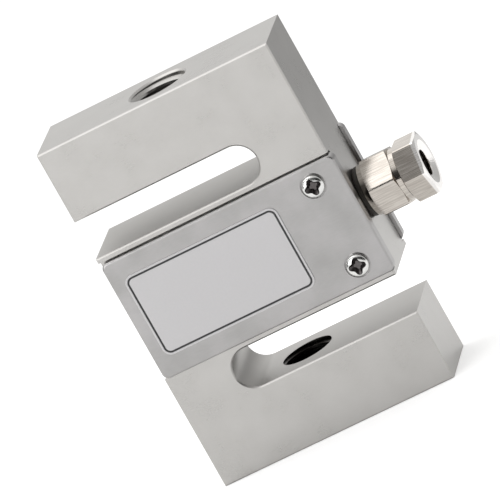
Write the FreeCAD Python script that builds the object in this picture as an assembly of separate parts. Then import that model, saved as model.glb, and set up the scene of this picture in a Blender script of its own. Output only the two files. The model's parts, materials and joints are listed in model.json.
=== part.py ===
"""S-type load cell for tension and compression.

A nickel-plated aluminium block is slotted from both sides into an S.  Its middle bar holds a
bone-shaped cavity with four strain gauges, closed front and back by screwed covers on gaskets.
A cable gland sits in the right side of the bar, and each arm has a threaded hole on the load axis.

Millimetres.  +Z is the load axis, up; the front is -Y; the gland points along +X.
The origin is the centre of the base face.
"""
import FreeCAD, Part
import math
import os

os.makedirs("parts", exist_ok=True)

# ---- block -------------------------------------------------------------------------------------
BLOCK_LENGTH = 51.0          # X
BLOCK_DEPTH = 19.0           # Y
BLOCK_HEIGHT = 76.0          # Z
ARM_HEIGHT = 15.2            # each loaded arm
SLOT_HEIGHT = 8.4            # each side slot, with a full round end
SLOT_PAST_AXIS = 12.7        # how far a slot's end lies beyond the load axis
EDGE_CHAMFER = 0.3
THREAD_RADIUS = 6.0          # M12 load threads, at the major diameter
MOUTH_CHAMFER = 0.4          # on the outer mouths of the load threads

# ---- cavity for the gauges ---------------------------------------------------------------------
WALL_AT_GAUGES = 5.4         # bar left over the two round ends of the cavity
BORE_SPACING = 19.0
NECK_HEIGHT = 10.0           # the straight neck between them

# ---- covers ------------------------------------------------------------------------------------
CHANNEL_DEPTH = 2.0          # shallow channel across each face of the middle bar
CHANNEL_LIP = 1.05           # metal left between channel and slot
GASKET_THICKNESS = 0.3
GASKET_INSET = 0.8           # gasket edge inside the cover's edge
GASKET_LAND = 0.6            # gasket window wider than the cavity, all round
COVER_THICKNESS = 2.5
COVER_GAP_TOP = 0.35         # front cover; the back one is turned over
COVER_GAP_BOTTOM = 0.1
COVER_LEFT_INSET = 0.3
COVER_RIGHT_OVERHANG = 0.7
COVER_CORNER_RADIUS = 1.3
COVER_EDGE_CHAMFER = 0.4

# ---- cover screws, M2.5 pan heads with a cross recess --------------------------------------------
SCREW_RADIUS = 1.25
SCREW_LENGTH = 7.0           # under the head
SCREW_HEAD_RADIUS = 2.3
SCREW_HEAD_HEIGHT = 1.5
SCREW_HEAD_CHAMFER = 0.5
SCREW_FROM_EDGE = 4.15       # from the cover's top and bottom edges
SCREW_FROM_SIDE = 5.5        # from the block's right face
SEAT_DEPTH = 0.4
SEAT_CLEARANCE = 0.3        # round the head
SHANK_CLEARANCE = 0.15       # in the cover and gasket
THREAD_CLEARANCE = 0.05      # every screw thread, between plain cylinders
RECESS_WIDTH = 0.9
RECESS_LENGTH = 3.2
RECESS_DEPTH = 1.0

# ---- label ---------------------------------------------------------------------------------------
LABEL_LENGTH = 33.7
LABEL_HEIGHT = 18.0
LABEL_THICKNESS = 0.25
LABEL_FROM_LEFT = 2.7        # from the front cover's left edge
LABEL_CORNER_RADIUS = 1.8
LABEL_BORDER_MARGIN = 0.4    # outer edge of the border groove, from the label's edge
LABEL_BORDER_WIDTH = 0.4
LABEL_BORDER_DEPTH = 0.1

# ---- gauges and their board ----------------------------------------------------------------------
GAUGE_THICKNESS = 0.15
GAUGE_LENGTH = 6.0           # along Y
GAUGE_WIDTH = 4.2            # round the bore
BOARD_LENGTH = 24.0
BOARD_HEIGHT = 8.0
BOARD_THICKNESS = 0.8
CHIP_LENGTH = 3.2
CHIP_WIDTH = 1.6
CHIP_HEIGHT = 0.6
CHIP_SPACING = 4.6
CHIP_COUNT = 4
LEAD_WIDTH = 1.8             # flat ribbon lead of a gauge
LEAD_THICKNESS = 0.3
LEAD_BEND_RADIUS = 1.5       # inside of the bend
LEAD_FROM_BOARD_EDGE = 1.2
LEAD_GAP = 0.05              # solder between lead and gauge

# ---- cable gland ---------------------------------------------------------------------------------
GLAND_ABOVE_MIDDLE = 0.8     # its axis, above the middle of the block
WASHER_THICKNESS = 1.2
WASHER_RADIUS = 5.2
SPIGOT_RADIUS = 4.0          # thread into the block
SPIGOT_LENGTH = 6.5
FLANGE_RADIUS = 5.4
FLANGE_THICKNESS = 1.05
BODY_ACROSS_FLATS = 11.5
BODY_HEX_LENGTH = 5.95
BODY_HEX_TURN = 42.0         # degrees from the front to a flat, upwards
COLLAR_RADIUS = 5.5
COLLAR_LENGTH = 1.0
NECK_RADIUS = 4.4            # thread for the cap nut
NECK_LENGTH = 3.0
CABLE_RADIUS = 2.3           # bore of the rubber seal
PASSAGE_RADIUS = 2.6         # wire way through spigot and body
SEAL_WALL = 0.95
SEAL_LENGTH = 3.2
CLAW_LENGTH = 1.1
CLAW_SLITS = 4
CLAW_SLIT_WIDTH = 0.5
CAP_ACROSS_FLATS = 11.5
CAP_GAP = 0.15               # bare neck between collar and cap nut
CAP_LENGTH = 4.95
CAP_HEX_TURN = 27.0
CAP_WALL = 0.6               # end wall of the cap nut
CAP_DISH_RADIUS = 4.6        # its end face dishes in from here to the mouth
CAP_DISH_DEPTH = 0.6
HEX_CHAMFER = 0.3

# ---- worked out from the values above --------------------------------------------------------------
LEFT = -BLOCK_LENGTH / 2
RIGHT = BLOCK_LENGTH / 2
FACE = BLOCK_DEPTH / 2
MIDDLE = BLOCK_HEIGHT / 2
BAR_HALF = MIDDLE - ARM_HEIGHT - SLOT_HEIGHT
BORE_RADIUS = BAR_HALF - WALL_AT_GAUGES
CHANNEL_HALF = BAR_HALF - CHANNEL_LIP
CHANNEL_FLOOR = FACE - CHANNEL_DEPTH
COVER_INNER = CHANNEL_FLOOR + GASKET_THICKNESS
COVER_OUTER = COVER_INNER + COVER_THICKNESS
COVER_LEFT = LEFT + COVER_LEFT_INSET
COVER_RIGHT = RIGHT + COVER_RIGHT_OVERHANG
COVER_BOTTOM = MIDDLE - CHANNEL_HALF + COVER_GAP_BOTTOM
COVER_TOP = MIDDLE + CHANNEL_HALF - COVER_GAP_TOP
COVER_MIDDLE = (COVER_BOTTOM + COVER_TOP) / 2
SCREW_HEIGHTS = (COVER_TOP - SCREW_FROM_EDGE, COVER_BOTTOM + SCREW_FROM_EDGE)
SCREW_X = RIGHT - SCREW_FROM_SIDE
SCREW_SEAT = COVER_OUTER - SEAT_DEPTH
GAUGE_BORE_RADIUS = BORE_RADIUS - GAUGE_THICKNESS
GLAND_HEIGHT = MIDDLE + GLAND_ABOVE_MIDDLE
FLANGE_START = RIGHT + WASHER_THICKNESS
HEX_START = FLANGE_START + FLANGE_THICKNESS
COLLAR_START = HEX_START + BODY_HEX_LENGTH
NECK_START = COLLAR_START + COLLAR_LENGTH
NECK_END = NECK_START + NECK_LENGTH
CAP_START = NECK_START + CAP_GAP
CAP_END = CAP_START + CAP_LENGTH
SEAL_RADIUS = CABLE_RADIUS + SEAL_WALL
SEAL_END = NECK_END - CLAW_LENGTH / 3
SEAL_START = SEAL_END - SEAL_LENGTH
OVERCUT = 1.0                # how far a cutter runs past the face it opens

V = FreeCAD.Vector
X_AXIS, Y_AXIS, Z_AXIS = V(1, 0, 0), V(0, 1, 0), V(0, 0, 1)


def box(low, high):
    """Box between two corners."""
    return Part.makeBox(high.x - low.x, high.y - low.y, high.z - low.z, low)


def rod(radius, start, end):
    """Cylinder between two points."""
    return Part.makeCylinder(radius, (end - start).Length, start, end - start)


def rounded_plate(x0, x1, z0, z1, y0, y1, radius):
    """Plate in the XZ plane with its four corners rounded."""
    plate = box(V(x0, y0, z0), V(x1, y1, z1))
    corners = [e for e in plate.Edges if abs(e.tangentAt(e.FirstParameter).y) > 0.99]
    return plate.makeFillet(radius, corners)


def turned_over(shape):
    """The same shape on the back of the block, turned over about the block's long middle line."""
    other = shape.copy()
    other.rotate(V(0, 0, MIDDLE), X_AXIS, 180)
    return other


def edges_on(shape, y):
    """Edges that lie wholly in the plane at y."""
    return [e for e in shape.Edges
            if abs(e.BoundBox.YMin - y) < 1e-6 and abs(e.BoundBox.YMax - y) < 1e-6]


def save(node, shape):
    shape.exportStep("parts/" + node + ".step")
    print(node, "solids", len(shape.Solids), "valid", shape.isValid())


# ---- block ---------------------------------------------------------------------------------------
def side_slot(side, z0):
    """Slot with a round end, open at the left (side -1) or the right (side 1)."""
    radius = SLOT_HEIGHT / 2
    end = -side * (SLOT_PAST_AXIS - radius)
    mouth = side * (BLOCK_LENGTH / 2 + OVERCUT)
    run = box(V(min(end, mouth), -FACE - OVERCUT, z0),
              V(max(end, mouth), FACE + OVERCUT, z0 + SLOT_HEIGHT))
    centre = z0 + radius
    return run.fuse(rod(radius, V(end, -FACE - OVERCUT, centre), V(end, FACE + OVERCUT, centre)))


def cavity():
    """Bone-shaped hole from front to back: two round ends and a straight neck."""
    back = FACE + OVERCUT
    neck = NECK_HEIGHT / 2
    half = BORE_SPACING / 2
    shape = box(V(-half, -back, MIDDLE - neck), V(half, back, MIDDLE + neck))
    for x in (-half, half):
        shape = shape.fuse(rod(BORE_RADIUS, V(x, -back, MIDDLE), V(x, back, MIDDLE)))
    return shape.removeSplitter()


def load_hole(z0, z1, outer):
    """Threaded hole of one arm, chamfered at its outer mouth."""
    hole = rod(THREAD_RADIUS, V(0, 0, z0 - OVERCUT), V(0, 0, z1 + OVERCUT))
    inwards = V(0, 0, 1 if outer == z0 else -1)
    mouth = Part.makeCone(THREAD_RADIUS + MOUTH_CHAMFER, THREAD_RADIUS, MOUTH_CHAMFER,
                          V(0, 0, outer), inwards)
    return hole.fuse(mouth)


def load_block():
    block = box(V(LEFT, -FACE, 0), V(RIGHT, FACE, BLOCK_HEIGHT))
    block = block.cut(side_slot(1, ARM_HEIGHT))
    block = block.cut(side_slot(-1, BLOCK_HEIGHT - ARM_HEIGHT - SLOT_HEIGHT))
    outline = edges_on(block, -FACE) + edges_on(block, FACE)
    block = block.makeChamfer(EDGE_CHAMFER, outline)

    block = block.cut(load_hole(0, ARM_HEIGHT, 0))
    block = block.cut(load_hole(BLOCK_HEIGHT - ARM_HEIGHT, BLOCK_HEIGHT, BLOCK_HEIGHT))
    block = block.cut(cavity())
    for side in (-1, 1):
        inner, outer = sorted((side * CHANNEL_FLOOR, side * (FACE + OVERCUT)))
        block = block.cut(box(V(LEFT - OVERCUT, inner, MIDDLE - CHANNEL_HALF),
                              V(RIGHT + OVERCUT, outer, MIDDLE + CHANNEL_HALF)))
    for z in SCREW_HEIGHTS:
        tapped = rod(SCREW_RADIUS + THREAD_CLEARANCE, V(SCREW_X, -FACE, z),
                     V(SCREW_X, -(SCREW_SEAT - SCREW_LENGTH - OVERCUT), z))
        block = block.cut(tapped).cut(turned_over(tapped))
    gland_hole = rod(SPIGOT_RADIUS + THREAD_CLEARANCE, V(BORE_SPACING / 2, 0, GLAND_HEIGHT),
                     V(RIGHT + OVERCUT, 0, GLAND_HEIGHT))
    return block.cut(gland_hole)


# ---- covers, gaskets, label and screws -------------------------------------------------------------
def front_cover():
    cover = rounded_plate(COVER_LEFT, COVER_RIGHT, COVER_BOTTOM, COVER_TOP,
                          -COVER_OUTER, -COVER_INNER, COVER_CORNER_RADIUS)
    cover = cover.makeChamfer(COVER_EDGE_CHAMFER, edges_on(cover, -COVER_OUTER))
    for z in SCREW_HEIGHTS:
        outside = V(SCREW_X, -COVER_OUTER - OVERCUT, z)
        cover = cover.cut(rod(SCREW_HEAD_RADIUS + SEAT_CLEARANCE, outside,
                              V(SCREW_X, -SCREW_SEAT, z)))
        cover = cover.cut(rod(SCREW_RADIUS + SHANK_CLEARANCE, outside, V(SCREW_X, 0, z)))
    return cover


def front_gasket():
    """Flat rubber sheet under the cover, with a window round the cavity."""
    sheet = box(V(COVER_LEFT + GASKET_INSET, -COVER_INNER, COVER_BOTTOM + GASKET_INSET),
                V(RIGHT - GASKET_INSET, -CHANNEL_FLOOR, COVER_TOP - GASKET_INSET))
    window = BORE_RADIUS + GASKET_LAND
    half = BORE_SPACING / 2
    sheet = sheet.cut(box(V(-half, -COVER_OUTER, MIDDLE - window), V(half, 0, MIDDLE + window)))
    for x in (-half, half):
        sheet = sheet.cut(rod(window, V(x, -COVER_OUTER, MIDDLE), V(x, 0, MIDDLE)))
    for z in SCREW_HEIGHTS:
        sheet = sheet.cut(rod(SCREW_RADIUS + SHANK_CLEARANCE, V(SCREW_X, -COVER_OUTER, z),
                              V(SCREW_X, 0, z)))
    return sheet


def label_plate():
    """Thin plate stuck to the front cover, with a fine border line sunk in its face."""
    x0 = COVER_LEFT + LABEL_FROM_LEFT
    x1 = x0 + LABEL_LENGTH
    z0 = COVER_MIDDLE - LABEL_HEIGHT / 2
    z1 = z0 + LABEL_HEIGHT
    face = -COVER_OUTER - LABEL_THICKNESS
    plate = rounded_plate(x0, x1, z0, z1, face, -COVER_OUTER, LABEL_CORNER_RADIUS)

    def inset(d):
        return rounded_plate(x0 + d, x1 - d, z0 + d, z1 - d, face - OVERCUT,
                             face + LABEL_BORDER_DEPTH, LABEL_CORNER_RADIUS - d)

    border = inset(LABEL_BORDER_MARGIN).cut(inset(LABEL_BORDER_MARGIN + LABEL_BORDER_WIDTH))
    return plate.cut(border)


def cover_screw(z, turn):
    """Front cover screw, with its cross recess turned by some degrees."""
    seat = V(SCREW_X, -SCREW_SEAT, z)
    outwards = V(0, -1, 0)
    top = seat + outwards * SCREW_HEAD_HEIGHT
    rim = top - outwards * SCREW_HEAD_CHAMFER
    head = rod(SCREW_HEAD_RADIUS, seat, rim)
    head = head.fuse(Part.makeCone(SCREW_HEAD_RADIUS, SCREW_HEAD_RADIUS - SCREW_HEAD_CHAMFER,
                                   SCREW_HEAD_CHAMFER, rim, outwards))
    screw = head.fuse(rod(SCREW_RADIUS, seat, seat - outwards * SCREW_LENGTH))
    half, width = RECESS_LENGTH / 2, RECESS_WIDTH / 2
    for reach, across in ((half, width), (width, half)):
        arm = box(top - V(reach, OVERCUT, across), top + V(reach, RECESS_DEPTH, across))
        screw = screw.cut(arm.rotate(top, Y_AXIS, turn))
    return screw


# ---- gauges, board and leads -----------------------------------------------------------------------
def strain_gauge(side, up):
    """Foil gauge bonded to the roof (up 1) or floor (up -1) of one round end of the cavity."""
    centre = V(side * BORE_SPACING / 2, 0, MIDDLE)
    back = V(0, GAUGE_LENGTH / 2, 0)
    ring = rod(BORE_RADIUS, centre - back, centre + back)
    ring = ring.cut(rod(GAUGE_BORE_RADIUS, centre - back, centre + back))
    reach = up * (BORE_RADIUS + OVERCUT)
    strip = box(V(centre.x - GAUGE_WIDTH / 2, -GAUGE_LENGTH / 2, MIDDLE + min(0, reach)),
                V(centre.x + GAUGE_WIDTH / 2, GAUGE_LENGTH / 2, MIDDLE + max(0, reach)))
    return ring.common(strip)


def terminal_board():
    """Bridge board bonded inside the back cover."""
    return box(V(-BOARD_LENGTH / 2, COVER_INNER - BOARD_THICKNESS, MIDDLE - BOARD_HEIGHT / 2),
               V(BOARD_LENGTH / 2, COVER_INNER, MIDDLE + BOARD_HEIGHT / 2))


def trim_resistors():
    """Row of chip resistors on the board."""
    face = COVER_INNER - BOARD_THICKNESS
    chips = []
    for i in range(CHIP_COUNT):
        x = (i - (CHIP_COUNT - 1) / 2) * CHIP_SPACING
        chips.append(box(V(x - CHIP_LENGTH / 2, face - CHIP_HEIGHT, MIDDLE - CHIP_WIDTH / 2),
                         V(x + CHIP_LENGTH / 2, face, MIDDLE + CHIP_WIDTH / 2)))
    return Part.makeCompound(chips)


def gauge_leads():
    """Flat ribbon from the board to each gauge, bent once through a right angle."""
    leads = []
    board_face = COVER_INNER - BOARD_THICKNESS
    inner = BOARD_HEIGHT / 2 - LEAD_FROM_BOARD_EDGE
    outer = inner + LEAD_THICKNESS
    end = math.sqrt(GAUGE_BORE_RADIUS ** 2 - (LEAD_WIDTH / 2) ** 2) - LEAD_GAP
    near = GAUGE_LENGTH / 2 - LEAD_THICKNESS
    far = near - LEAD_THICKNESS
    bend = LEAD_BEND_RADIUS
    slant = math.sqrt(0.5)
    turn = V(0, near + bend, outer + bend)       # centre of the bend
    reach = bend + LEAD_THICKNESS
    for side in (-1, 1):
        for up in (-1, 1):
            def at(y, z):
                return V(side * BORE_SPACING / 2 - LEAD_WIDTH / 2, y, MIDDLE + up * z)

            corner_out = (turn.y - reach * slant, turn.z - reach * slant)
            corner_in = (turn.y - bend * slant, turn.z - bend * slant)
            outline = [
                Part.LineSegment(at(board_face, inner), at(turn.y, inner)),
                Part.Arc(at(turn.y, inner), at(*corner_out), at(far, turn.z)),
                Part.LineSegment(at(far, turn.z), at(far, end)),
                Part.LineSegment(at(far, end), at(near, end)),
                Part.LineSegment(at(near, end), at(near, turn.z)),
                Part.Arc(at(near, turn.z), at(*corner_in), at(turn.y, outer)),
                Part.LineSegment(at(turn.y, outer), at(board_face, outer)),
                Part.LineSegment(at(board_face, outer), at(board_face, inner))]
            face = Part.Face(Part.Wire([line.toShape() for line in outline]))
            leads.append(face.extrude(V(LEAD_WIDTH, 0, 0)))
    return Part.makeCompound(leads)


# ---- cable gland ---------------------------------------------------------------------------------
def turned(points):
    """Solid of revolution round the gland's axis, from (x, radius) points."""
    wire = Part.makePolygon([V(x, 0, GLAND_HEIGHT + r) for x, r in points + points[:1]])
    return Part.Face(wire).revolve(V(0, 0, GLAND_HEIGHT), X_AXIS, 360)


def hexagon(x0, x1, across_flats, turn):
    """Hexagon bar on the gland's axis, both ends chamfered to the inscribed circle."""
    flat = across_flats / 2
    corner = flat / math.cos(math.radians(30))
    points = []
    for i in range(7):
        angle = math.radians(turn + 30 + 60 * i)
        points.append(V(x0, -corner * math.cos(angle), GLAND_HEIGHT + corner * math.sin(angle)))
    bar = Part.Face(Part.makePolygon(points)).extrude(V(x1 - x0, 0, 0))
    barrel = turned([(x0, 0), (x0, flat), (x0 + HEX_CHAMFER, corner),
                     (x1 - HEX_CHAMFER, corner), (x1, flat), (x1, 0)])
    return bar.common(barrel)


def gland_washer():
    inner = SPIGOT_RADIUS + THREAD_CLEARANCE
    return turned([(RIGHT, inner), (FLANGE_START, inner),
                   (FLANGE_START, WASHER_RADIUS), (RIGHT, WASHER_RADIUS)])


def gland_body():
    """Threaded spigot, flange, hexagon, collar and neck, bored through."""
    spigot_end = RIGHT - SPIGOT_LENGTH
    body = turned([(spigot_end, 0), (spigot_end, SPIGOT_RADIUS), (FLANGE_START, SPIGOT_RADIUS),
                   (FLANGE_START, FLANGE_RADIUS), (HEX_START, FLANGE_RADIUS),
                   (HEX_START, COLLAR_RADIUS), (NECK_START, COLLAR_RADIUS),
                   (NECK_START, NECK_RADIUS), (NECK_END, NECK_RADIUS), (NECK_END, 0)])
    body = body.fuse(hexagon(HEX_START, COLLAR_START, BODY_ACROSS_FLATS, BODY_HEX_TURN))
    seat = SEAL_RADIUS + THREAD_CLEARANCE
    bore = turned([(spigot_end - OVERCUT, 0), (spigot_end - OVERCUT, PASSAGE_RADIUS),
                   (SEAL_START, PASSAGE_RADIUS), (SEAL_START, seat),
                   (NECK_END + OVERCUT, seat), (NECK_END + OVERCUT, 0)])
    return body.removeSplitter().cut(bore)


def gland_seal():
    return turned([(SEAL_START, CABLE_RADIUS), (SEAL_END, CABLE_RADIUS),
                   (SEAL_END, SEAL_RADIUS), (SEAL_START, SEAL_RADIUS)])


def gland_claw():
    """Slit clamping ring that the cap nut presses on the seal."""
    end = SEAL_END + CLAW_LENGTH
    claw = turned([(SEAL_END, PASSAGE_RADIUS), (end, PASSAGE_RADIUS),
                   (end, (PASSAGE_RADIUS + SEAL_RADIUS) / 2), (NECK_END, SEAL_RADIUS),
                   (SEAL_END, SEAL_RADIUS)])
    for i in range(CLAW_SLITS):
        slit = box(V(NECK_END, 0, GLAND_HEIGHT - CLAW_SLIT_WIDTH / 2),
                   V(end + OVERCUT, SEAL_RADIUS + OVERCUT, GLAND_HEIGHT + CLAW_SLIT_WIDTH / 2))
        slit.rotate(V(0, 0, GLAND_HEIGHT), X_AXIS, 360 / CLAW_SLITS * i)
        claw = claw.cut(slit)
    return claw


def gland_cap_nut():
    """Cap nut with a bore that narrows to its mouth and a dished end."""
    cap = hexagon(CAP_START, CAP_END, CAP_ACROSS_FLATS, CAP_HEX_TURN)
    thread = NECK_RADIUS + THREAD_CLEARANCE
    dish = CAP_END - CAP_DISH_DEPTH
    wall = dish - CAP_WALL
    mouth = PASSAGE_RADIUS + 2 * THREAD_CLEARANCE
    bore = turned([(CAP_START - OVERCUT, 0), (CAP_START - OVERCUT, thread),
                   (NECK_END + THREAD_CLEARANCE, thread), (wall, mouth),
                   (dish, mouth), (CAP_END, CAP_DISH_RADIUS),
                   (CAP_END + OVERCUT, CAP_DISH_RADIUS), (CAP_END + OVERCUT, 0)])
    return cap.cut(bore)


# ---- all nodes -------------------------------------------------------------------------------------
def main():
    save("load_block", load_block())
    cover, gasket = front_cover(), front_gasket()
    save("front_cover", cover)
    save("back_cover", turned_over(cover))
    save("front_gasket", gasket)
    save("back_gasket", turned_over(gasket))
    save("label_plate", label_plate())
    upper, lower = cover_screw(SCREW_HEIGHTS[0], 25.0), cover_screw(SCREW_HEIGHTS[1], 50.0)
    save("front_screw_upper", upper)
    save("front_screw_lower", lower)
    save("back_screw_upper", turned_over(lower))
    save("back_screw_lower", turned_over(upper))
    for side, across in ((-1, "left"), (1, "right")):
        for up, along in ((1, "upper"), (-1, "lower")):
            save("strain_gauge_" + along + "_" + across, strain_gauge(side, up))
    save("terminal_board", terminal_board())
    save("trim_resistors", trim_resistors())
    save("gauge_leads", gauge_leads())
    save("gland_washer", gland_washer())
    save("gland_body", gland_body())
    save("gland_seal", gland_seal())
    save("gland_claw", gland_claw())
    save("gland_cap_nut", gland_cap_nut())


main()
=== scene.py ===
"""Looks of the S-type load cell: satin plated block, bright gland, label, threads and light."""
import json
import math

import bmesh
import bpy
from mathutils import Matrix, Vector


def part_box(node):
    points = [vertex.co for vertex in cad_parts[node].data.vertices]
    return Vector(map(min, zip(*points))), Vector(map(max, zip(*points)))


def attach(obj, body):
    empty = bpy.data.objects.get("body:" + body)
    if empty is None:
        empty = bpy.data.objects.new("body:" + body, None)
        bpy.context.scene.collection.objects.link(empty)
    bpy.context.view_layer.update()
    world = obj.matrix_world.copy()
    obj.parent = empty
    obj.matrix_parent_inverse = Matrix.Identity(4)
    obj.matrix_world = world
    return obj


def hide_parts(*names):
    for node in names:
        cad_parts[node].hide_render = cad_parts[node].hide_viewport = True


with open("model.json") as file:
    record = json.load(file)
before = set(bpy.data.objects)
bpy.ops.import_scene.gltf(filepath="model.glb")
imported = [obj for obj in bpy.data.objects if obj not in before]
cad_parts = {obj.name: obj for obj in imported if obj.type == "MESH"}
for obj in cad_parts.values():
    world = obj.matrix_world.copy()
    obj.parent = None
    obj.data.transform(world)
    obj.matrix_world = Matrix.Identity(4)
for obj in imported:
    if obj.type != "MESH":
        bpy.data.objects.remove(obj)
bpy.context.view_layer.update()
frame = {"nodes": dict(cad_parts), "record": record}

NODES = frame["nodes"]
MOUNTS = {mount["name"]: mount for mount in frame["record"]["mounts"]}
SLOT_OF = {part["node"]: part["material_slot"] for part in frame["record"]["subparts"]}
MM = 0.001
BLOCK_LOW, BLOCK_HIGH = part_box("load_block")
CENTRE = (BLOCK_LOW + BLOCK_HIGH) / 2
ARM, SLOT = 15.2, 8.4          # heights of an arm and of a slot, in millimetres
AROUND = 64                    # steps round a circle


# ---- node graphs -----------------------------------------------------------------------------
class Graph:
    """A node tree under construction, with short ways to add and join its nodes."""

    def __init__(self, owner):
        owner.use_nodes = True
        self.owner = owner
        self.tree = owner.node_tree

    def add(self, kind, sockets=(), **settings):
        """New node with its settings and inputs."""
        node = self.tree.nodes.new(kind)
        for key, value in settings.items():
            setattr(node, key, value)
        for key, value in dict(sockets).items():
            self.put(node.inputs[key], value)
        return node

    def put(self, socket, value):
        """Joins an output to the socket, or sets the socket's own value."""
        if isinstance(value, bpy.types.NodeSocket):
            self.tree.links.new(value, socket)
        else:
            socket.default_value = value

    def math(self, operation, a, b=0.0):
        return self.add("ShaderNodeMath", {0: a, 1: b}, operation=operation).outputs[0]

    def axes(self, vector):
        """The three parts of a vector."""
        return self.add("ShaderNodeSeparateXYZ", {0: vector}).outputs

    def place(self, scale=(1.0, 1.0, 1.0)):
        """Row-frame position in millimetres, scaled per axis."""
        spot = self.add("ShaderNodeTexCoord").outputs["Object"]
        size = [s / MM for s in scale]
        return self.add("ShaderNodeMapping", {"Vector": spot, "Scale": size}).outputs[0]

    def noise(self, where, scale=1.0, detail=3.0):
        node = self.add("ShaderNodeTexNoise", {"Vector": where, "Scale": scale, "Detail": detail,
                                               "Roughness": 0.5})
        return node.outputs["Fac"]

    def between(self, factor, low, high):
        """factor from 0 to 1, spread from low to high."""
        node = self.add("ShaderNodeMapRange", {"Value": factor, "To Min": low, "To Max": high})
        return node.outputs[0]

    def band(self, value, start, end, low=0.0, high=1.0):
        """low at start, high at end, smooth in between."""
        node = self.add("ShaderNodeMapRange", {"Value": value, "From Min": start, "From Max": end,
                                               "To Min": low, "To Max": high},
                        interpolation_type="SMOOTHSTEP")
        return node.outputs[0]

    def blend(self, factor, a, b):
        """Colour a at factor 0, colour b at 1."""
        node = self.add("ShaderNodeMix", data_type="RGBA")
        self.put(node.inputs[0], factor)
        for socket, value in ((node.inputs[6], a), (node.inputs[7], b)):
            self.put(socket, value if isinstance(value, bpy.types.NodeSocket) else (*value, 1.0))
        return node.outputs[2]

    def bump(self, height, strength, distance_mm, normal=None):
        """Normal that follows a height, on top of another normal."""
        node = self.add("ShaderNodeBump", {"Height": height, "Strength": strength,
                                           "Distance": distance_mm * MM})
        if normal is not None:
            self.put(node.inputs["Normal"], normal)
        return node.outputs[0]

    def finish(self, **sockets):
        """Sets the surface shader's sockets; underscores in the names stand for spaces."""
        shader = self.tree.nodes["Principled BSDF"]
        for key, value in sockets.items():
            self.put(shader.inputs[key.replace("_", " ")], value)
        return self.owner


# ---- materials -------------------------------------------------------------------------------
# painted shade, laid on the inner walls of the load holes and slots
HOLLOW_SHADE = (0.05, 0.045, 0.04)
# painted highlight, laid on the end of the cap nut
END_HIGHLIGHT = (1.0, 0.98, 0.96)


def plated_metal(name, colour, dark, rough, grain, lines_per_mm=14.0, lines_share=0.25,
                 painted_inner_shade=None, painted_highlight=None):
    """Satin nickel over milled aluminium: fine lines along X, faint clouds, handling marks.

    The next to last argument gives how much painted shade darkens the metal and how much
    rougher it is; the last one how much of it is painted near white, as a highlight.
    """
    g = Graph(bpy.data.materials.new(name))
    lines = g.noise(g.place((0.05, 1.0, 1.0)), lines_per_mm, 2.0)
    clouds = g.noise(g.place(), 0.12, 4.0)
    specks = g.noise(g.place(), 9.0, 2.0)
    tone = g.math("ADD", g.math("MULTIPLY", clouds, 1.0 - lines_share),
                  g.math("MULTIPLY", lines, lines_share))
    colour = g.blend(g.band(tone, 0.3, 0.7), dark, colour)
    sheen = g.math("ADD", g.between(clouds, rough - 0.05, rough + 0.05),
                   g.between(lines, -0.03, 0.03))
    # inner walls darkened with painted shade
    if painted_inner_shade is not None:
        shade_share, rougher = painted_inner_shade(g)
        colour = g.blend(shade_share, colour, HOLLOW_SHADE)
        sheen = g.math("ADD", sheen, rougher)
    # painted near-white highlight
    if painted_highlight is not None:
        colour = g.blend(painted_highlight(g), colour, END_HIGHLIGHT)
    relief = g.bump(specks, grain * 0.5, 0.01)
    relief = g.bump(lines, grain, 0.01, relief)
    return g.finish(Base_Color=colour, Metallic=1.0, Roughness=sheen, Normal=relief)


def inner_wall_shade(g, upper_shade=0.25, lower_shade=0.85, slot_shade=0.1, slot_rougher=0.15):
    """Painted shade on the inner walls, and how much rougher they are: shade in the load holes,
    deepest in the lower one, and lighter shade in the slots, which are left rougher as cut.
    """
    x, y, z = g.axes(g.place())
    middle, half = CENTRE.z / MM, (BLOCK_HIGH.z - BLOCK_LOW.z) / 2 / MM
    arm_side, bar_side = half - ARM, half - ARM - SLOT     # faces of a slot, from the middle
    up = g.math("ABSOLUTE", g.math("SUBTRACT", z, middle))

    wall = MOUNTS["upper_thread"]["dims"]["r_mm"]
    radius = g.math("SQRT", g.math("ADD", g.math("MULTIPLY", x, x), g.math("MULTIPLY", y, y)))
    holes = g.math("MULTIPLY", g.band(radius, wall + 0.15, wall + 0.05),
                   g.band(z, middle + 2.0, middle - 2.0, upper_shade, lower_shade))
    holes = g.math("MULTIPLY", holes, g.band(up, arm_side + 0.03, arm_side + 0.1))

    slots = g.math("MULTIPLY", g.band(up, bar_side - 0.2, bar_side),
                   g.band(up, arm_side + 0.1, arm_side - 0.1))
    for at, reach in ((x, BLOCK_HIGH.x / MM), (y, BLOCK_HIGH.y / MM)):
        slots = g.math("MULTIPLY", slots, g.band(g.math("ABSOLUTE", at), reach, reach - 0.3))
    return (g.math("MAXIMUM", holes, g.math("MULTIPLY", slots, slot_shade)),
            g.math("MULTIPLY", slots, slot_rougher))


def cap_end_highlight(g):
    """1 on the last 0.6 mm of the cap nut, which gets a painted near-white highlight."""
    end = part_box("gland_cap_nut")[1].x / MM
    return g.band(g.axes(g.place())[0], end - 0.9, end - 0.6)


def rubber(name, colour):
    g = Graph(bpy.data.materials.new(name))
    grain = g.noise(g.place(), 6.0, 4.0)
    return g.finish(Base_Color=g.blend(grain, colour, tuple(c * 1.6 for c in colour)),
                    Roughness=g.between(grain, 0.5, 0.7), Normal=g.bump(grain, 0.3, 0.03))


def plain_plastic(name, colour, rough):
    g = Graph(bpy.data.materials.new(name))
    grain = g.noise(g.place(), 3.0)
    return g.finish(Base_Color=g.blend(grain, tuple(c * 0.85 for c in colour), colour),
                    Roughness=g.between(grain, rough - 0.05, rough + 0.05),
                    Normal=g.bump(grain, 0.15, 0.01))


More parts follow.
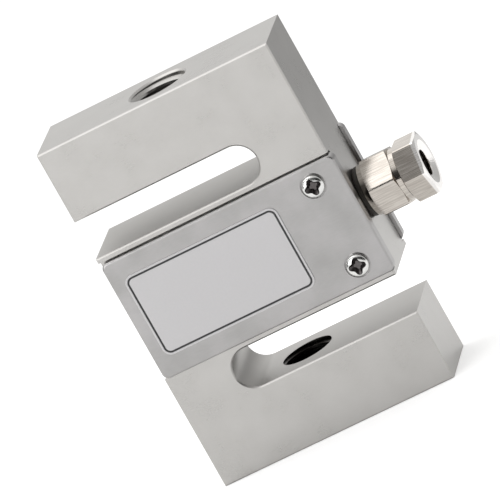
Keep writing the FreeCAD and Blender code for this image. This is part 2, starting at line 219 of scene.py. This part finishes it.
def bordered_label(name, node, colour, ink, margin, width, corner, blur=0.03):
    """Pale plate with a rounded border line at a margin from its edge, all in millimetres."""
    g = Graph(bpy.data.materials.new(name))
    low, high = (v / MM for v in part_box(node))
    middle, half = (low + high) / 2, (high - low) / 2
    x, _, z = g.axes(g.place())
    over = []
    for at, centre, reach in ((x, middle.x, half.x), (z, middle.z, half.z)):
        away = g.math("ABSOLUTE", g.math("SUBTRACT", at, centre))
        over.append(g.math("SUBTRACT", away, reach - corner))
    outside = [g.math("MAXIMUM", v, 0.0) for v in over]
    round_part = g.math("SQRT", g.math("ADD", g.math("MULTIPLY", outside[0], outside[0]),
                                       g.math("MULTIPLY", outside[1], outside[1])))
    straight = g.math("MINIMUM", g.math("MAXIMUM", over[0], over[1]), 0.0)
    inwards = g.math("SUBTRACT", corner, g.math("ADD", round_part, straight))
    line = g.math("MULTIPLY", g.band(inwards, margin - blur, margin + blur),
                  g.band(inwards, margin + width + blur, margin + width - blur))
    grain = g.noise(g.place(), 2.0)
    face = g.blend(grain, tuple(c * 0.95 for c in colour), colour)
    return g.finish(Base_Color=g.blend(line, face, ink), Roughness=g.between(grain, 0.38, 0.48),
                    Normal=g.bump(grain, 0.1, 0.01))


def assign(node, material):
    """Gives a CAD node or a piece one material in its slots."""
    slots = node.data.materials
    if len(slots) == 0:
        slots.append(material)
    for i in range(len(slots)):
        slots[i] = material


# the block's load holes, threads and slots take painted shade
BLOCK = plated_metal("plated_block", (0.52, 0.51, 0.495), (0.475, 0.465, 0.45), 0.29, 0.08,
                     painted_inner_shade=inner_wall_shade)
COVER = plated_metal("plated_cover", (0.45, 0.44, 0.44), (0.365, 0.36, 0.355), 0.34, 0.05)
# the cap nut's end takes a painted highlight
GLAND = plated_metal("gland_nickel", (0.68, 0.64, 0.59), (0.48, 0.44, 0.40), 0.13, 0.8,
                     lines_per_mm=4.0, lines_share=0.7, painted_highlight=cap_end_highlight)
SCREW = plated_metal("screw_steel", (0.82, 0.82, 0.80), (0.74, 0.74, 0.73), 0.2, 0.05)
# screw recesses painted dark, as shade
RECESS_SHADE = plated_metal("screw_recess", (0.16, 0.15, 0.15), (0.10, 0.09, 0.09), 0.35, 0.1)
FINISH = {
    "plated_block": BLOCK,
    "plated_cover": COVER,
    "gland_nickel": GLAND,
    "screw_steel": SCREW,
    "black_rubber": rubber("black_rubber", (0.022, 0.018, 0.014)),
    "label": bordered_label("label", "label_plate", (0.69, 0.68, 0.69), (0.03, 0.03, 0.032),
                            margin=0.4, width=0.4, corner=1.8),
    "claw_plastic": plain_plastic("claw_plastic", (0.09, 0.08, 0.07), 0.5),
    "gauge_film": plain_plastic("gauge_film", (0.75, 0.42, 0.10), 0.3),
    "circuit_board": plain_plastic("circuit_board", (0.04, 0.26, 0.10), 0.35),
    "chip_ceramic": plain_plastic("chip_ceramic", (0.06, 0.06, 0.07), 0.45),
    "lead_ribbon": plain_plastic("lead_ribbon", (0.60, 0.28, 0.09), 0.35),
}
for node, slot in SLOT_OF.items():
    assign(NODES[node], FINISH[slot])


# ---- pieces ------------------------------------------------------------------------------------
LONG_EDGE = 4 * MM             # a face with a longer edge is flat
LARGE_FACE = 5 * MM * MM       # least area of the faces beside a ridge
SAME_POINT = 0.0005 * MM


def add_piece(name, mesh, material, crease=30.0):
    """Turns a bmesh into a piece that rides on the part, smooth up to the crease angle."""
    bmesh.ops.recalc_face_normals(mesh, faces=mesh.faces)
    for face in mesh.faces:                     # large faces and long strips are flat
        longest = max(edge.calc_length() for edge in face.edges)
        face.smooth = len(face.verts) < 5 and longest < LONG_EDGE
    for edge in mesh.edges:
        edge.smooth = len(edge.link_faces) == 2 and edge.calc_face_angle(0.0) < math.radians(crease)
    data = bpy.data.meshes.new(name)
    mesh.to_mesh(data)
    mesh.free()
    piece = bpy.data.objects.new(name, data)
    bpy.context.scene.collection.objects.link(piece)
    assign(piece, material)
    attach(piece, "root")
    return piece


def ring_of(mesh, points):
    """Vertices at the points, in their order."""
    return [mesh.verts.new(point) for point in points]


def circle(x, y, z, radius):
    """Points of a circle about an axis along Y."""
    turns = [2 * math.pi * i / AROUND for i in range(AROUND)]
    return [(x + radius * math.cos(turn), y, z + radius * math.sin(turn)) for turn in turns]


def skin(mesh, first, second):
    """Faces between two rings of vertices; a ring of one vertex is a tip."""
    count = max(len(first), len(second))
    for i in range(count):
        j = (i + 1) % count
        corners = [ring[k % len(ring)] for ring, k in
                   ((first, i), (first, j), (second, j), (second, i))]
        mesh.faces.new(list(dict.fromkeys(corners)))


def softened(node, width, ridge=None, segments=2, sharp=32.0):
    """Copy of a CAD node with its sharp edges broken by a small radius, shown in its place.

    The ridges between large faces may have a wider radius.
    """
    mesh = bmesh.new()
    mesh.from_mesh(NODES[node].data)
    bmesh.ops.remove_doubles(mesh, verts=mesh.verts, dist=SAME_POINT)
    bmesh.ops.dissolve_limit(mesh, angle_limit=math.radians(0.5), verts=mesh.verts,
                             edges=mesh.edges)
    for offset, steps, least in ((ridge, 1, LARGE_FACE), (width, segments, 0.0)):
        edges = [e for e in mesh.edges
                 if len(e.link_faces) == 2 and e.calc_face_angle(0.0) > math.radians(sharp)
                 and min(f.calc_area() for f in e.link_faces) >= least]
        if offset is not None:
            bmesh.ops.bevel(mesh, geom=edges, offset=offset * MM, offset_type="OFFSET",
                            segments=steps, profile=0.5, affect="EDGES", clamp_overlap=True)
    slot = SLOT_OF[node]
    piece = add_piece(node + "_shown", mesh, FINISH[slot], 25.0)
    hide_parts(node)
    return piece


# ---- threads in the arms -----------------------------------------------------------------------
PITCH = 1.75                   # of an M12 thread, in millimetres
THREAD_DEPTH = 0.541           # of its pitch, as are the half widths
ROOT_HALF, CREST_HALF = 0.44, 0.125
SLOT_MOUTH = 5.4               # radius at which the thread meets the slot
THREAD_STEPS = 72              # round one turn


def load_thread(name, mount, inner_z, outer_z):
    """Helical ridge of an internal M12 x 1.75 thread, between the two ends of the hole's wall."""
    low, high = sorted((inner_z, outer_z))
    pitch, major = PITCH * MM, mount["dims"]["r_mm"] * MM
    minor = major - THREAD_DEPTH * pitch
    profile = [(-ROOT_HALF, major), (-CREST_HALF, minor), (CREST_HALF, minor), (ROOT_HALF, major)]
    turns = int((high - low) / pitch) + 3
    mesh = bmesh.new()
    rings = []
    for i in range(turns * THREAD_STEPS + 1):
        angle = 2 * math.pi * i / THREAD_STEPS
        middle = low + (i / THREAD_STEPS - 1.5) * pitch
        ring = []
        for offset, radius in profile:
            z = min(max(middle + offset * pitch, low), high)
            # a cone at either end leads the ridge in
            radius = max(radius, major - abs(outer_z - z), SLOT_MOUTH * MM - abs(inner_z - z))
            ring.append((radius * math.cos(angle), radius * math.sin(angle), z))
        rings.append(ring_of(mesh, ring))
    for first, second in zip(rings, rings[1:]):
        skin(mesh, first, second)
    bmesh.ops.remove_doubles(mesh, verts=mesh.verts, dist=SAME_POINT)
    bmesh.ops.dissolve_degenerate(mesh, dist=0.002 * MM, edges=mesh.edges)
    return add_piece(name, mesh, BLOCK, 25.0)


for end in ("upper", "lower"):
    mount = MOUNTS[end + "_thread"]
    # the mount's point is half-way along the wall, and its axis points out of the part
    out = mount["axis"][2] * mount["dims"]["length_mm"] * MM / 2
    load_thread(end + "_thread_form", mount, mount["pos_m"][2] - out, mount["pos_m"][2] + out)


# ---- covers ------------------------------------------------------------------------------------
def faces_out(node):
    """Side that a cover or its screw faces, and the Y of its outer and of its inner end."""
    low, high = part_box(node)
    side = 1 if (low.y + high.y) > 0 else -1
    return (side, high.y, low.y) if side > 0 else (side, low.y, high.y)


def rounded_outline(low, high, corner, shrink, y, steps=12):
    """Points of a rounded rectangle in the XZ plane, anticlockwise, shrunk on all sides."""
    points = []
    radius = corner - shrink
    for sx, sz, start in ((1, 1, 0), (-1, 1, 90), (-1, -1, 180), (1, -1, 270)):
        cx = (high.x if sx > 0 else low.x) - sx * corner
        cz = (high.z if sz > 0 else low.z) - sz * corner
        for i in range(steps + 1):
            angle = math.radians(start + 90 * i / steps)
            points.append((cx + radius * math.cos(angle), y, cz + radius * math.sin(angle)))
    return points


def loop_edges(mesh, ring):
    """Edges round a ring of vertices, made where they are missing."""
    pairs = zip(ring, ring[1:] + ring[:1])
    return [mesh.edges.get(pair) or mesh.edges.new(pair) for pair in pairs]


def smooth_cover(node, screws, corner=1.3, edge=0.45, seat_depth=0.4, seat_clearance=0.3,
                 arc_steps=8):
    """Cover plate with a rounded outer edge and shallow seats for its screws' heads."""
    low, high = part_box(node)
    side, outer, inner = faces_out(node)
    corner, edge = corner * MM, edge * MM
    mesh = bmesh.new()
    levels = [(0.0, inner), (0.0, outer - side * edge)]
    for i in range(1, arc_steps + 1):
        angle = math.radians(90 * i / arc_steps)
        levels.append((edge * (1 - math.cos(angle)), outer - side * edge * (1 - math.sin(angle))))
    levels.append((edge + 0.06 * MM, outer))
    rings = [ring_of(mesh, rounded_outline(low, high, corner, shrink, y)) for shrink, y in levels]
    for first, second in zip(rings, rings[1:]):
        skin(mesh, first, second)
    borders = loop_edges(mesh, rings[-1])
    for screw in screws:
        start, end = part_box(screw)
        centre, radius = (start + end) / 2, (end.x - start.x) / 2 + seat_clearance * MM
        rim, seat = (ring_of(mesh, circle(centre.x, y, centre.z, radius))
                     for y in (outer, outer - side * seat_depth * MM))
        skin(mesh, rim, seat)
        mesh.faces.new(seat)
        borders += loop_edges(mesh, rim)
    bmesh.ops.triangle_fill(mesh, use_beauty=True, use_dissolve=False, edges=borders)
    mesh.faces.new(rings[0])
    piece = add_piece(node + "_shown", mesh, COVER)
    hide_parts(node)
    return piece


smooth_cover("front_cover", ("front_screw_upper", "front_screw_lower"))
smooth_cover("back_cover", ("back_screw_upper", "back_screw_lower"))


# ---- cover screws --------------------------------------------------------------------------------
HEAD_HEIGHT, SHANK_RADIUS = 1.5, 1.25          # in millimetres
CROWN, RIM = 0.12, 0.75                        # height of the crown, radius of its rounded rim
CROWN_STEPS, RIM_STEPS = 6, 14
RECESS_HALF, RECESS_REACH, RECESS_ROOT = 0.5, 1.72, 0.85
RECESS_LEVELS = ((-0.4, 1.12), (0.35, 1.0), (1.15, 0.5))       # depth, and share of its width


def screw_profile(radius, length):
    """Radius and depth along a pan-head screw, from the middle of its crown to its tip."""
    head, shank, dome, rim = (v * MM for v in (HEAD_HEIGHT, SHANK_RADIUS, CROWN, RIM))
    flat = radius - rim
    profile = [(0.0, 0.0)]
    for i in range(1, CROWN_STEPS + 1):
        profile.append((flat * i / CROWN_STEPS, dome * (i / CROWN_STEPS) ** 2))
    lean = math.atan(2 * dome / flat)          # slope of the crown where the rim starts
    for i in range(1, RIM_STEPS + 1):
        angle = lean + (math.pi / 2 - lean) * i / RIM_STEPS
        profile.append((flat + rim * (math.sin(angle) - math.sin(lean)) / (1 - math.sin(lean)),
                        dome + rim * (math.cos(lean) - math.cos(angle))))
    return profile + [(radius, head), (shank, head), (shank, length), (0.0, length)]


def recess_cutter(x, top, z, side, turn):
    """Object in the shape of a tapered cross recess, turned about the screw's axis."""
    half, reach, root = (v * MM for v in (RECESS_HALF, RECESS_REACH, RECESS_ROOT))
    outline = []
    arm = [(root, -half * 1.5), (reach - half * 0.5, -half), (reach, -half * 0.5),
           (reach, half * 0.5), (reach - half * 0.5, half), (root, half * 1.5)]
    for quarter in range(4):
        base = math.radians(turn + 90 * quarter)
        for along, across in arm:
            outline.append((along * math.cos(base) - across * math.sin(base),
                            along * math.sin(base) + across * math.cos(base)))
    mesh = bmesh.new()
    rings = [ring_of(mesh, [(x + a * share, top - side * depth * MM, z + b * share)
                            for a, b in outline]) for depth, share in RECESS_LEVELS]
    for first, second in zip(rings, rings[1:]):
        skin(mesh, first, second)
    mesh.faces.new(rings[0])
    mesh.faces.new(rings[-1])
    bmesh.ops.recalc_face_normals(mesh, faces=mesh.faces)
    data = bpy.data.meshes.new("recess")
    mesh.to_mesh(data)
    mesh.free()
    data.materials.append(RECESS_SHADE)
    cutter = bpy.data.objects.new("recess", data)
    bpy.context.scene.collection.objects.link(cutter)
    return cutter


def carve(piece, cutter):
    """Cuts the cutter out of the piece and removes it."""
    cut = piece.modifiers.new("recess", "BOOLEAN")
    cut.operation = "DIFFERENCE"
    cut.solver = "EXACT"
    cut.material_mode = "TRANSFER"
    cut.object = cutter
    bpy.context.view_layer.update()
    evaluated = piece.evaluated_get(bpy.context.evaluated_depsgraph_get())
    result = bpy.data.meshes.new_from_object(evaluated)
    piece.modifiers.clear()
    piece.data = result
    bpy.data.objects.remove(cutter)


def pan_screw(node, turn):
    """Pan head with a domed top and a cross recess, on a plain shank."""
    low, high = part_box(node)
    side, top, tip = faces_out(node)
    x, z, radius = (low.x + high.x) / 2, (low.z + high.z) / 2, (high.x - low.x) / 2
    mesh = bmesh.new()
    rings = []
    for r, depth in screw_profile(radius, abs(top - tip)):
        y = top - side * depth
        rings.append(ring_of(mesh, circle(x, y, z, r) if r > 0.0 else [(x, y, z)]))
    for first, second in zip(rings, rings[1:]):
        skin(mesh, first, second)
    piece = add_piece(node + "_shown", mesh, SCREW, 35.0)
    # the recess takes the painted shade colour
    piece.data.materials.append(RECESS_SHADE)
    carve(piece, recess_cutter(x, top, z, side, turn))
    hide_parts(node)
    return piece


for node, turn in (("front_screw_upper", 8.0), ("front_screw_lower", -6.0),
                   ("back_screw_upper", 30.0), ("back_screw_lower", 65.0)):
    pan_screw(node, turn)

softened("gland_cap_nut", 0.1, ridge=0.15)
softened("gland_body", 0.1, ridge=0.2)
softened("gland_washer", 0.42, segments=4)


# ---- floor, light and camera -----------------------------------------------------------------
def make_floor(size=8.0, near_to=110.0, far_from=230.0):
    """Pale sheet that shows white to the camera, dark under the part and painted darker far behind
    it as shade, which the metal mirrors.
    """
    paleness, in_metal, in_view = (0.36, 0.78), (0.12, 0.26), (0.75, 0.45)     # far off, near by
    mesh = bpy.data.meshes.new("floor")
    half = size / 2
    mesh.from_pydata([(-half, -half, 0), (half, -half, 0), (half, half, 0), (-half, half, 0)], [],
                     [(0, 1, 2, 3)])
    floor = bpy.data.objects.new("floor", mesh)
    bpy.context.scene.collection.objects.link(floor)
    g = Graph(bpy.data.materials.new("floor"))
    g.tree.nodes.remove(g.tree.nodes["Principled BSDF"])
    x, y, _ = g.axes(g.place())
    # painted shade: the floor darkens far behind the part
    near = g.band(y, far_from, near_to)
    under = g.math("MULTIPLY", *(g.band(g.math("ABSOLUTE", at), reach + 0.5, reach - 1.5)
                                 for at, reach in ((x, BLOCK_HIGH.x / MM), (y, BLOCK_HIGH.y / MM))))
    open_floor = g.math("SUBTRACT", 1.0, under)
    level = g.between(near, *paleness)
    tint = g.add("ShaderNodeCombineColor", {0: level, 1: level, 2: level})
    pale = g.add("ShaderNodeBsdfDiffuse", {"Color": tint.outputs[0]})
    path = g.add("ShaderNodeLightPath").outputs
    mirrored = g.math("MAXIMUM", path["Is Glossy Ray"], path["Is Transmission Ray"])
    to_mirrors = g.math("MULTIPLY", mirrored, g.between(near, *in_metal))
    to_camera = g.math("MULTIPLY", path["Is Camera Ray"], g.between(near, *in_view))
    strength = g.math("MULTIPLY", g.math("MAXIMUM", to_mirrors, to_camera), open_floor)
    glow = g.add("ShaderNodeEmission", {"Strength": strength})
    both = g.add("ShaderNodeAddShader", {0: pale.outputs[0], 1: glow.outputs[0]})
    g.put(g.tree.nodes["Material Output"].inputs["Surface"], both.outputs[0])
    mesh.materials.append(g.owner)


def make_world(horizon, overhead, right, front):
    """Studio that brightens upwards, darker to the right and darkest in front."""
    world = bpy.data.worlds.new("studio")
    bpy.context.scene.world = world
    g = Graph(world)
    x, y, z = g.axes(g.add("ShaderNodeTexCoord").outputs["Generated"])
    level = g.band(z, -0.05, 0.55, horizon, overhead)
    level = g.math("MULTIPLY", level, g.band(x, 0.05, 0.4, 1.0, right))
    ahead = g.math("MULTIPLY", g.band(y, -0.10, -0.40), g.band(z, 0.88, 0.49))
    level = g.math("MULTIPLY", level, g.between(ahead, 1.0, front))
    background = g.tree.nodes["Background"]
    background.inputs["Color"].default_value = (1.0, 0.995, 0.985, 1.0)
    g.put(background.inputs["Strength"], level)


def softbox(name, spot, side, power):
    """Square lamp that points at the middle of the part."""
    light = bpy.data.lights.new(name, "AREA")
    light.shape = "RECTANGLE"
    light.size = light.size_y = side
    light.energy = power
    lamp = bpy.data.objects.new(name, light)
    lamp.location = spot
    aim = Vector((0.0, 0.0, CENTRE.z)) - Vector(spot)
    lamp.rotation_euler = aim.to_track_quat("-Z", "Y").to_euler()
    bpy.context.scene.collection.objects.link(lamp)


def make_camera():
    """Long lens from the right front, a little above, rolled so that the cell leans to the left."""
    azimuth, elevation, roll = math.radians(15.44), math.radians(13.33), math.radians(29.56)
    distance, lens = 1.5558, 576.0
    off_right, off_down = 0.29 * MM, 0.26 * MM      # of the block's centre in the view
    ahead = Vector((-math.sin(azimuth) * math.cos(elevation),
                    math.cos(azimuth) * math.cos(elevation), -math.sin(elevation)))
    level_right = ahead.cross(Vector((0, 0, 1))).normalized()
    level_up = level_right.cross(ahead)
    right = level_right * math.cos(roll) - level_up * math.sin(roll)
    up = level_up * math.cos(roll) + level_right * math.sin(roll)
    target = CENTRE - right * off_right + up * off_down
    data = bpy.data.cameras.new("camera")
    data.lens = lens
    data.clip_end = 20.0
    camera = bpy.data.objects.new("camera", data)
    camera.matrix_world = Matrix.Translation(target - ahead * distance) @ Matrix(
        (right, up, -ahead)).transposed().to_4x4()
    bpy.context.scene.collection.objects.link(camera)
    bpy.context.scene.camera = camera


make_floor()
make_world(horizon=0.7, overhead=1.12, right=0.65, front=0.05)
softbox("key", (-0.45, 0.1, 1.1), 1.2, 3.5)
softbox("fill", (-0.7, -1.2, 0.45), 0.7, 7.5)
make_camera()
bpy.context.scene.view_settings.view_transform = "Standard"
